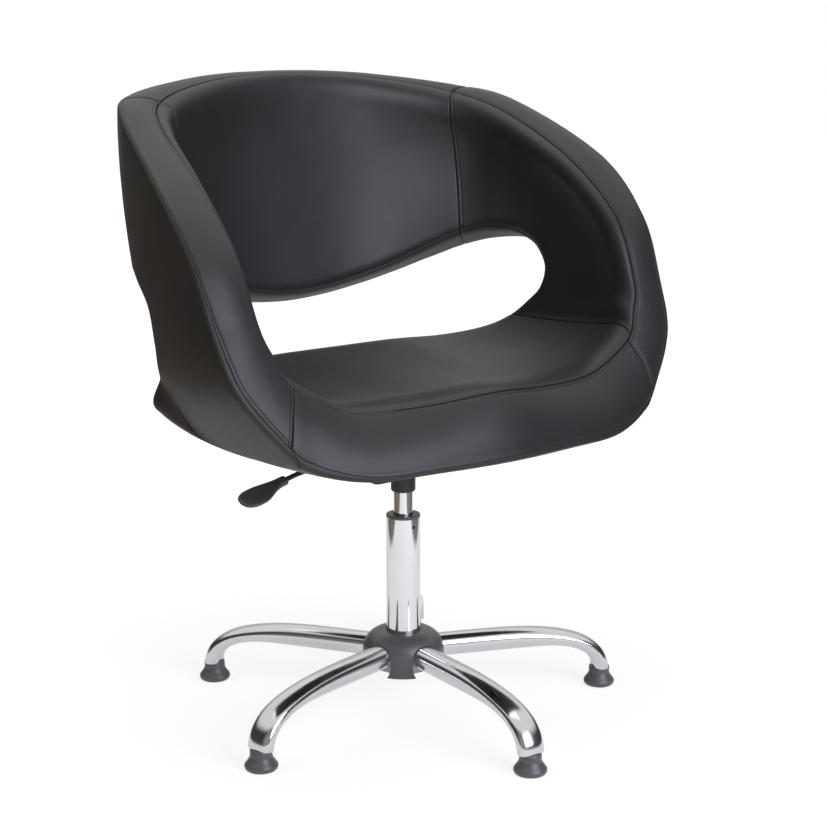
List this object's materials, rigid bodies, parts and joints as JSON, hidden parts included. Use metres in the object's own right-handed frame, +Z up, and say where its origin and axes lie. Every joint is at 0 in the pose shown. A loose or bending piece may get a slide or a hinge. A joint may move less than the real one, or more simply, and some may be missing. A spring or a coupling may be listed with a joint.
{
  "type": "threading chair",
  "caption": "Upholstered tub chair with a lens-shaped gap under the back, on a gas lift with a side lever and a star base of bent chrome tube arms with fixed glides.",
  "frame": {"origin": "on the floor under the swivel axis", "axes": "+Z up, -Y the way the chair faces, +X the sitter's left arm"},
  "size_m": [0.8052, 0.6708, 0.921],
  "materials": {
    "chrome_tube": "polished chrome plate",
    "moulded_plastic": "matt black nylon",
    "rubber_parts": "plain black rubber",
    "grip_plastic": "smooth black plastic",
    "black_steel": "black powder coat",
    "plywood": "raw plywood",
    "foam": "moulded cushion foam",
    "leather": "soft black upholstery leather, faint grain",
    "outer_leather": "black upholstery leather on the outside of the shell",
    "zinc_steel": "zinc plated steel"
  },
  "bodies": {
    "base": {"star_arm_1": "chrome_tube", "star_arm_2": "chrome_tube", "star_arm_3": "chrome_tube", "star_arm_4": "chrome_tube", "star_arm_5": "chrome_tube", "glide_1": "moulded_plastic", "glide_2": "moulded_plastic", "glide_3": "moulded_plastic", "glide_4": "moulded_plastic", "glide_5": "moulded_plastic", "arm_plugs": "moulded_plastic", "glide_stems": "zinc_steel", "hub_block": "zinc_steel", "hub_cover": "moulded_plastic", "column_tube": "chrome_tube", "column_screw": "black_steel", "guide_bush": "moulded_plastic", "thrust_bearing": "zinc_steel"},
    "swivel_rod": {"piston_rod": "zinc_steel", "rod_clip": "zinc_steel", "rod_buffer": "rubber_parts", "piston": "zinc_steel"},
    "seat_shell": {"lift_cylinder": "chrome_tube", "cylinder_seal": "rubber_parts", "valve_body": "zinc_steel", "taper_socket": "black_steel", "lift_housing": "black_steel", "seat_plate": "black_steel", "seat_screws": "zinc_steel", "screw_washers": "zinc_steel", "lever_pin": "zinc_steel", "seat_board": "plywood", "board_nuts": "zinc_steel", "hoop_tube": "zinc_steel", "hoop_clips": "black_steel", "foam_back": "foam", "foam_arm_left": "foam", "foam_arm_right": "foam", "foam_seat": "foam", "cover_back": "leather", "cover_arm_left": "leather", "cover_arm_right": "leather", "cover_seat": "leather", "border_top": "leather", "border_left": "leather", "border_right": "leather", "border_front": "leather", "outer_back": "outer_leather", "outer_side_left": "outer_leather", "outer_side_right": "outer_leather", "outer_underside": "outer_leather"},
    "height_lever": {"lever_rod": "black_steel", "lever_grip": "grip_plastic"},
    "release_pin": {"valve_pin": "zinc_steel"}
  },
  "joints": [
    {"name": "seat_swivel", "type": "hinge", "parent": "base", "child": "swivel_rod", "pos_m": [0, 0, 0.064], "axis": [0, 0, 1], "continuous": true},
    {"name": "seat_lift", "type": "slide", "parent": "swivel_rod", "child": "seat_shell", "axis": [0, 0, 1], "range_m": [-0.02, 0.1]},
    {"name": "lever_pivot", "type": "hinge", "parent": "seat_shell", "child": "height_lever", "pos_m": [-0.05, 0, 0.3978], "axis": [0, 1, 0], "range_deg": [0, 4], "stiffness_Nm_per_rad": 6, "springref_deg": -2.86},
    {"name": "valve_press", "type": "slide", "parent": "seat_shell", "child": "release_pin", "axis": [0, 0, 1], "range_m": [-0.0036, 0]}
  ],
  "couplings": [
    {"joint": "valve_press", "follows": "lever_pivot", "m_per_rad": -0.05}
  ]
}
